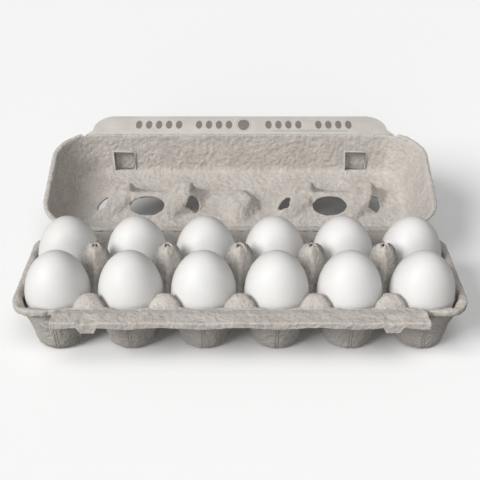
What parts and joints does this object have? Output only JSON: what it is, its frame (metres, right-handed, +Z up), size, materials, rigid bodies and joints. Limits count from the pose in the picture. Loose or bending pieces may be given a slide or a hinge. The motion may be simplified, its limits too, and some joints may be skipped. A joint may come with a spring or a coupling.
{
  "type": "egg carton with eggs",
  "caption": "Open moulded pulp egg carton with a hinged lid, a lock flap and white eggs standing in its cups.",
  "frame": {"origin": "on the surface the carton stands on, under the middle of the opened carton's box", "axes": "+X along the carton's length to the right seen from the front, +Y from the lock flap at the front to the opened lid at the back, +Z up"},
  "size_m": [0.3004, 0.2452, 0.0791],
  "materials": {
    "pulp": "matte",
    "egg_shell": "satin"
  },
  "bodies": {
    "tray": {"tray": "pulp", "egg_front_1": "egg_shell", "egg_front_2": "egg_shell", "egg_front_3": "egg_shell", "egg_front_4": "egg_shell", "egg_front_5": "egg_shell", "egg_front_6": "egg_shell", "egg_rear_1": "egg_shell", "egg_rear_2": "egg_shell", "egg_rear_3": "egg_shell", "egg_rear_4": "egg_shell", "egg_rear_5": "egg_shell", "egg_rear_6": "egg_shell"},
    "lid": {"lid": "pulp"},
    "lock_flap": {"lock_flap": "pulp"}
  },
  "joints": [
    {"name": "lid_hinge", "type": "hinge", "parent": "tray", "child": "lid", "pos_m": [0, -0.0024, 0.03875], "axis": [1, 0, 0], "range_deg": [0, 161]},
    {"name": "flap_hinge", "type": "hinge", "parent": "tray", "child": "lock_flap", "pos_m": [0, -0.1066, 0.0391], "axis": [-1, 0, 0], "range_deg": [0, 108]}
  ]
}
